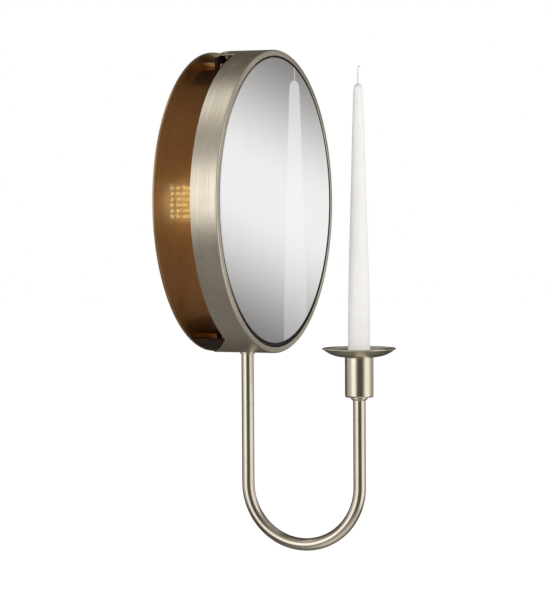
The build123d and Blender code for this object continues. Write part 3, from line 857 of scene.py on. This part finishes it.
# ---- mirror glass, silvered, with a ground edge, and the gasket round it ----
def make_mirror():
    lift = (glass_low.z + glass_high.z) / 2
    radius = (glass_high.x - glass_low.x) / 2
    front, back = glass_low.y, glass_high.y
    outline = rounded([
        (0.0, back, 0.0), (radius, back, 0.3 * MM), (radius, front + 0.4 * MM, 0.12 * MM),
        (radius - 0.5 * MM, front, 0.12 * MM), (0.0, front, 0.0),
    ], hold=0.4 * MM)
    glass = lathe("mirror_glass_ground", outline, axis="Y", centre=(0.0, lift), steps=320)
    stands_for(glass, "mirror_silver", "mirror_glass")

    def squeeze(place, turn):
        """The gasket's face is a little proud and uneven where the lip pinches it."""
        if place.y < gasket_low.y + 0.5 * MM:
            place.y += 0.12 * MM * noise.noise(Vector((math.cos(turn), math.sin(turn), 0.0)) * 9)
        inner = max(0.0, 1 - (math.hypot(place.x, place.z) - radius) / (lip_r - radius))
        place.z += lift * min(1.0, inner)
        return place

    inner_r, outer_r = radius + 0.05 * MM, lip_r - 0.1 * MM
    face = gasket_low.y + 0.12 * MM
    outline = rounded([
        (inner_r, gasket_high.y, 0.2 * MM), (outer_r, gasket_high.y, 0.2 * MM),
        (outer_r, face, 0.5 * MM), (inner_r, face, 0.5 * MM),
    ])
    gasket = lathe("mirror_gasket_ring", outline, axis="Y", steps=320, bend=squeeze)
    stands_for(gasket, "black_rubber", "mirror_gasket")


# ---- arm: tube, collar, neck ring ----
def make_arm():
    top = tube_high.z
    end = neck_low.z
    line = [Vector((0.0, arm_y, top - (top - bend_z) * step / 60)) for step in range(60)]
    for step in range(121):
        turn = math.pi * step / 120
        line.append(Vector((
            0.0, (arm_y + candle_y) / 2 + bend_r * math.cos(turn), bend_z - bend_r * math.sin(turn),
        )))
    line += [Vector((0.0, candle_y, bend_z + (end - bend_z) * step / 30)) for step in range(1, 31)]
    tube = pipe("arm_tube_bent", line, tube_r, bore=tube_r - sheet, steps=64)
    stands_for(tube, "drawn_nickel", "arm_tube")

    def saddle(place, _):
        """Fits the collar's top to the round of the drum."""
        if place.z > -drum_r - 0.5 * MM:
            place.z = -math.sqrt(drum_r ** 2 - place.x ** 2) - 0.01 * MM
        return place

    wide = collar_high.x
    outline = rounded([
        (nipple_r, collar_low.z, 0.1 * MM), (wide, collar_low.z, 0.5 * MM),
        (wide, -drum_r, 0.0), (nipple_r, -drum_r, 0.0),
    ])
    collar = lathe("arm_collar_turned", outline, centre=(0.0, arm_y), steps=128, bend=saddle)
    stands_for(collar, "drawn_nickel", "arm_collar")

    wide = neck_high.x
    low, high = neck_low.z, neck_high.z
    outline = rounded([
        (nipple_r, low, 0.1 * MM), (tube_r + 0.7 * MM, low, 0.35 * MM), (wide, low + 1.4 * MM, 0.6 * MM),
        (wide, high, 0.25 * MM), (nipple_r, high, 0.0),
    ])
    stands_for(lathe("neck_ring_turned", outline, centre=cup_axis, steps=128), "drawn_nickel", "neck_ring")


# ---- cup, its liner, and the loose drip pan ----
def make_cup():
    wide = cup_high.x
    low, high = cup_low.z, cup_high.z
    bore = liner_high.x + 0.1 * MM
    base = low + 2 * MM
    outline = rounded([
        (nipple_r, low, 0.1 * MM), (wide, low, 1.8 * MM), (wide, high, 0.55 * MM), (bore, high, 0.3 * MM),
        (bore, base, 0.4 * MM), (nipple_r, base, 0.1 * MM),
    ], steps=8)
    stands_for(lathe("candle_cup_turned", outline, centre=cup_axis, steps=160), "drawn_nickel", "candle_cup")

    floor = candle_low.z
    under = floor - 1.5 * MM
    outline = rounded([
        (0.0, floor, 0.0), (socket_r, floor, 0.4 * MM), (socket_r, liner_high.z, 0.3 * MM),
        (liner_high.x, liner_high.z, 0.25 * MM), (liner_high.x, liner_low.z, 0.25 * MM),
        (socket_r, liner_low.z, 0.2 * MM), (socket_r, under, 0.2 * MM), (0.0, under, 0.0),
    ])
    stands_for(lathe("candle_liner_drawn", outline, centre=cup_axis, steps=96), "brass", "candle_liner")


def make_drip_pan():
    """A shallow spun dish: its rim is rolled over a bead, and a spigot drops into the cup."""
    rim = pan_high.x
    seat = cup_high.z
    thick = 1.1 * MM
    spigot = liner_high.x - 0.2 * MM
    under, inside = [], []
    for step in range(21):
        share = step / 20
        radius = cup_high.x + (rim - 0.75 * MM - cup_high.x) * share
        height = seat + 1.4 * MM * share + (pan_high.z - 1.15 * MM - seat - 1.4 * MM) * share ** 2.6
        under.append((radius, height, 0.0))
        inside.append((radius - 0.18 * MM * share, height + thick * (1 - 0.15 * share), 0.0))
    bead = []
    bead_r = 0.72 * MM
    centre = Vector((rim - bead_r, pan_high.z - bead_r))
    for step in range(13):
        turn = math.radians(-75 + 240 * step / 12)
        bead.append((centre.x + bead_r * math.cos(turn), centre.y + bead_r * math.sin(turn), 1.0))
    foot = rounded([
        (socket_r, seat + thick, 0.35 * MM), (socket_r, pan_low.z, 0.2 * MM), (spigot, pan_low.z, 0.25 * MM),
        (spigot, seat, 0.15 * MM), (cup_high.x - 0.3 * MM, seat, 0.0),
    ])
    outline = foot + under[:-1] + bead + inside[::-1][1:]
    stands_for(lathe("drip_pan_spun", outline, centre=cup_axis, steps=224), "drawn_nickel", "drip_pan")


# ---- candle and wick ----
shoulder_r = 4.55
shoulder_z = candle_high.z - 6 * MM
taper_stations = (
    (candle_low.z, 11.15), (-0.140, 11.15), (-0.105, 10.9), (-0.048, 9.45), (0.010, 7.65), (0.066, 6.1),
    (0.104, 4.95), (shoulder_z, shoulder_r),
)


def taper_radius(height):
    """The candle's radius at a height. Stations are heights in metres with radii in millimetres."""
    for (low, first), (high, second) in zip(taper_stations, taper_stations[1:]):
        if height <= high:
            share = (height - low) / (high - low)
            return (first + (second - first) * share) * MM
    drop = (height - shoulder_z) / (candle_high.z - shoulder_z)
    return shoulder_r * MM * math.sqrt(max(0.0, 1 - drop ** 2.2)) * (1 - 0.12 * drop)


def make_candle():
    low, high = candle_low.z, candle_high.z
    outline = [
        (0.0, low, 0.0), (9.6 * MM, low, 0.0), (10.5 * MM, low + 0.5 * MM, 1.0),
        (11.1 * MM, low + 1.8 * MM, 0.0),
    ]
    count = 150
    for step in range(count):
        height = low + 3 * MM + (high - 6 * MM - low - 3 * MM) * step / count
        radius = taper_radius(height)
        if height < high - 16 * MM:
            radius = sum(taper_radius(height + shift * 4 * MM) for shift in (-2, -1, 0, 1, 2)) / 5
        outline.append((radius, height, 0.0))
    for step in range(21):
        drop = math.sin(0.5 * math.pi * step / 20)
        height = high - 6 * MM + 6 * MM * drop
        outline.append((max(taper_radius(height), 0.0 if step == 20 else 1.0 * MM), height, 0.0))
    outline.append((0.0, high - 0.3 * MM, 0.0))

    def dipped(place, turn):
        """Dipping leaves the candle very slightly out of round, with slow ripples along it."""
        out = Vector((place.x, place.y - candle_y, 0.0))
        if out.length > 2 * MM:
            slow = noise.noise(Vector((math.cos(turn) * 0.8, math.sin(turn) * 0.8, place.z * 28)))
            place -= out.normalized() * 0.10 * MM * (0.5 + 0.5 * slow)
        return place

    stands_for(lathe("taper_candle", outline, centre=cup_axis, steps=96, bend=dipped), "white_wax", "candle")


def make_wick():
    """Three waxed strands laid together, with the tip folded over."""
    root = candle_high.z - 1.0 * MM
    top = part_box("wick")[1].z
    stem_r = 0.42 * MM
    fold = 1.7 * MM
    last = 89
    centre_line = []
    for step in range(last + 1):
        share = step / last
        rise = root + (top - 2 * stem_r - root) * min(1.0, share / 0.82)
        lean = 0.25 * MM * math.sin(share * 5.0)
        past = max(0.0, (share - 0.82) / 0.18)
        centre_line.append(Vector((0.2 * lean, candle_y + lean - fold * past, rise - 0.35 * MM * past ** 2)))
    twists = 5.5
    for strand in range(3):
        line = []
        for index, spot in enumerate(centre_line):
            ahead = centre_line[min(index + 1, last)] - centre_line[max(index - 1, 0)]
            side = ahead.cross(Vector((1.0, 0.0, 0.0))).normalized()
            other = ahead.normalized().cross(side)
            turn = 2 * math.pi * (strand / 3 + index / last * twists)
            line.append(spot + (side * math.cos(turn) + other * math.sin(turn)) * 0.33 * MM)
        stands_for(pipe(f"wick_strand_{strand + 1}", line, stem_r * 0.88, steps=14), "cotton_wick", "wick")


# ---- hardware and sheet parts that keep their CAD shape, with broken corners ----
hardware = {
    "wire_bush": ("black_rubber", 0.3), "bracket_spacers": ("warm_bronze", 0.15),
    "lower_bracket": ("dark_bronze", 0.25), "upper_bracket": ("dark_bronze", 0.25),
    "bracket_screws": ("bright_steel", 0.12), "cradle": ("dark_bronze", 0.25),
    "strap_screws": ("bright_steel", 0.12), "strap_nuts": ("bright_steel", 0.15),
    "drum_lugs": ("bright_steel", 0.2), "rear_cover": ("dark_cover", 0.2),
    "cover_screws": ("bright_steel", 0.1), "cable_grommet": ("black_rubber", 0.25),
    "led_board": ("board_white", 0.12), "led_chips": ("light_chip", 0.15),
    "board_screws": ("bright_steel", 0.1), "led_driver": ("driver_case", 0.4),
    "driver_screws": ("bright_steel", 0.1), "terminal_block": ("terminal_nylon", 0.3),
    "mirror_backing": ("backing_board", 0.3), "mirror_pads": ("foam_pad", 0.4),
    "arm_nipple": ("brass", 0.2), "arm_washer": ("bright_steel", 0.2), "arm_nut": ("brass", 0.2),
    "cup_nipple": ("brass", 0.2), "cup_nut": ("brass", 0.2),
}

make_wall_plate()
make_drum_band()
make_mirror()
make_arm()
make_cup()
make_drip_pan()
make_candle()
make_wick()
for node, (finish, corner) in hardware.items():
    finish_piece(softened(node, corner * MM), finish, node)


# ---- studio: white paper all round, soft boxes, and a pale floor ----
# Each soft box is (turn, rise, half width, half height, feather across, feather up and down, strength, tilt).
# All but the last two are in degrees. Turn is 0 straight in front of the mirror, 90 to its right and -90 to
# its left.
studio_fill = 0.085
studio_tint = (1.0, 0.87, 0.74, 1.0)
white = (1.0, 1.0, 1.0, 1.0)
studio_boxes = [
    (-115, 6, 9, 12, 20, 15, 1.32, 0.0),
    (-155, 0, 14, 8, 18, 14, 0.45, 0.0),
    (-118, 44, 34, 6, 26, 16, 0.26, 0.0),
    (-160, 67, 20, 6, 24, 12, 1.00, 0.0),
    (-50, -60, 50, 16, 36, 22, 0.46, 0.0),
    (0, -80, 180, 20, 1, 30, 0.10, 0.0),
    (-4, 4, 13, 26, 24, 20, 1.12, 0.0),
    (67.5, -0.1, 16, 0.3, 22, 3.6, 0.71, 0.5),
    (60, 0, 18, 12, 20, 20, 0.125, 0.0),
    (34, 2, 8, 12, 18, 18, 0.32, 0.0),
    (10, 62, 50, 10, 30, 18, 0.30, 0.0),
]


def make_surroundings():
    """The sky of a white studio. Away from the camera it is darker between the soft boxes."""
    world = bpy.data.worlds.new("studio")
    scene.world = world
    world.use_nodes = True
    tree = world.node_tree
    tree.nodes.clear()
    way = parts_of(tree, add_node(tree, "TexCoord").outputs["Generated"])
    level = arithmetic(tree, "ARCTAN2", way[0], product(tree, way[1], -1.0))
    turn = product(tree, level, 180 / math.pi)
    rise = product(tree, arithmetic(tree, "ARCSINE", way[2]), 180 / math.pi)

    def soft_box(at_turn, at_rise, half_wide, half_high, feather_across, feather_up, strength, tilt):
        """Light from one box."""
        aside = arithmetic(tree, "WRAP", arithmetic(tree, "SUBTRACT", turn, at_turn), 180.0, -180.0)
        tilted = arithmetic(tree, "MULTIPLY_ADD", aside, tilt, rise)
        above = arithmetic(tree, "ABSOLUTE", arithmetic(tree, "SUBTRACT", tilted, at_rise))
        off = arithmetic(tree, "ABSOLUTE", aside)
        wide = spread(tree, off, half_wide, half_wide + feather_across, 1.0, 0.0)
        high = spread(tree, above, half_high, half_high + feather_up, 1.0, 0.0)
        both = product(tree, wide, high)
        return product(tree, both, strength)

    total = None
    for box in studio_boxes:
        lit = soft_box(*box)
        total = lit if total is None else arithmetic(tree, "ADD", total, lit)
    boxes = add_node(tree, "Background", {"Color": white, "Strength": total})
    room = add_node(tree, "Background", {"Color": studio_tint, "Strength": studio_fill})
    around = add_node(tree, "AddShader", {0: boxes.outputs[0], 1: room.outputs[0]})
    paper = add_node(tree, "Background", {"Color": white, "Strength": 1.0})
    seen = add_node(tree, "LightPath").outputs["Is Camera Ray"]
    mixed = add_node(tree, "MixShader", {0: seen, 1: around.outputs[0], 2: paper.outputs[0]})
    output = add_node(tree, "OutputWorld")
    tree.links.new(mixed.outputs[0], output.inputs["Surface"])


def add_area(name, place, aim, size, power, shape="RECTANGLE", colour=(1.0, 1.0, 1.0)):
    """A soft lamp that lights matt surfaces and isn't seen or mirrored."""
    data = bpy.data.lights.new(name, "AREA")
    data.shape = shape
    data.size, data.size_y = size
    data.energy = power
    data.color = colour
    lamp = new_object(name, data)
    lamp.location = place
    lamp.rotation_euler = (Vector(aim) - Vector(place)).to_track_quat("-Z", "Y").to_euler()
    lamp.visible_camera = False
    lamp.visible_glossy = False


def make_floor():
    """A pale floor just below the arm."""
    shaped = bmesh.new()
    bmesh.ops.create_circle(shaped, cap_ends=True, segments=96, radius=6.0)
    floor = new_object("floor", new_mesh("floor", shaped))
    floor.location = (0.0, 0.0, tube_low.z - 12 * MM)
    start_finish(
        "pale_floor", Roughness=0.9, Emission_Strength=0.72, Specular_IOR_Level=0.0,
        Base_Color=(0.93, 0.93, 0.93, 1.0), Emission_Color=white,
    )
    floor.data.materials.append(finishes["pale_floor"])
    floor.visible_glossy = False


def add_painted_taper_reflection():
    """A painted reflection: a glowing, half-clear copy of the taper beside the sconce, which only the mirror
    shows, as where two sconces hang side by side.
    """
    material = bpy.data.materials.new("mirrored_wax")
    material.use_nodes = True
    tree = material.node_tree
    tree.nodes.clear()
    place = add_node(tree, "TexCoord").outputs["Object"]
    height = parts_of(tree, place)[2]
    # Painted reflection: the copy emits white light instead of being lit, and shows more strongly towards its
    # top.
    veil = spread(tree, height, -0.15, 0.10, 0.11, 0.27)
    glow = add_node(tree, "Emission", {"Color": white, "Strength": 1.0})
    clear = add_node(tree, "BsdfTransparent")
    mixed = add_node(tree, "MixShader", {0: veil, 1: clear.outputs[0], 2: glow.outputs[0]})
    tree.links.new(mixed.outputs[0], add_node(tree, "OutputMaterial").inputs["Surface"])
    beside = 0.2615
    growth, stretch = 1.18, 0.97
    for name in ("taper_candle", "wick_strand_1"):
        mesh = bpy.data.objects[name].data.copy()
        mesh.materials.clear()
        mesh.materials.append(material)
        twin = new_object("mirrored_" + name, mesh)
        twin.scale = (growth, growth, growth * stretch)
        twin.location = (beside, candle_y - candle_y * growth, 0.0)
        twin.visible_camera = twin.visible_diffuse = twin.visible_shadow = False


def make_camera():
    """A long lens, a little above the candle cup, that looks along the wall from the left."""
    azimuth, elevation, roll = math.radians(-67.492), math.radians(2.469), math.radians(-0.34)
    distance = 2.502
    target = Vector((0.009382, -0.060, -0.099483))
    level = math.cos(elevation)
    back = Vector((math.sin(azimuth) * level, -math.cos(azimuth) * level, math.sin(elevation)))
    right = Vector((math.cos(azimuth), math.sin(azimuth), 0.0))
    up = back.cross(right)
    turned_right = right * math.cos(roll) + up * math.sin(roll)
    turned_up = up * math.cos(roll) - right * math.sin(roll)
    data = bpy.data.cameras.new("camera")
    data.lens = 148.17
    data.sensor_width = 36.0
    camera = new_object("camera", data)
    pose = Matrix((turned_right, turned_up, back)).transposed().to_4x4()
    pose.translation = target + back * distance
    camera.matrix_world = pose
    scene.camera = camera


make_camera()
make_surroundings()
make_floor()
add_painted_taper_reflection()
add_area("key", (-2.1, -1.7, 0.3), (0.0, -0.1, 0.0), (1.2, 1.8), 14.5)
add_area("fill", (1.8, -2.2, 0.1), (0.0, -0.1, -0.1), (1.6, 1.8), 7.6)
add_area("back", (-2.2, 0.75, -0.1), (0.0, -0.1, -0.05), (1.2, 1.8), 8.0)
wash_place = (0.0, plate_low.y - 1 * MM, 0.0)
add_area("wash", wash_place, (0.0, -1.0, 0.0), (0.26, 0.26), 0.17, "DISK", (1.0, 0.88, 0.70))
scene.view_settings.view_transform = "Standard"
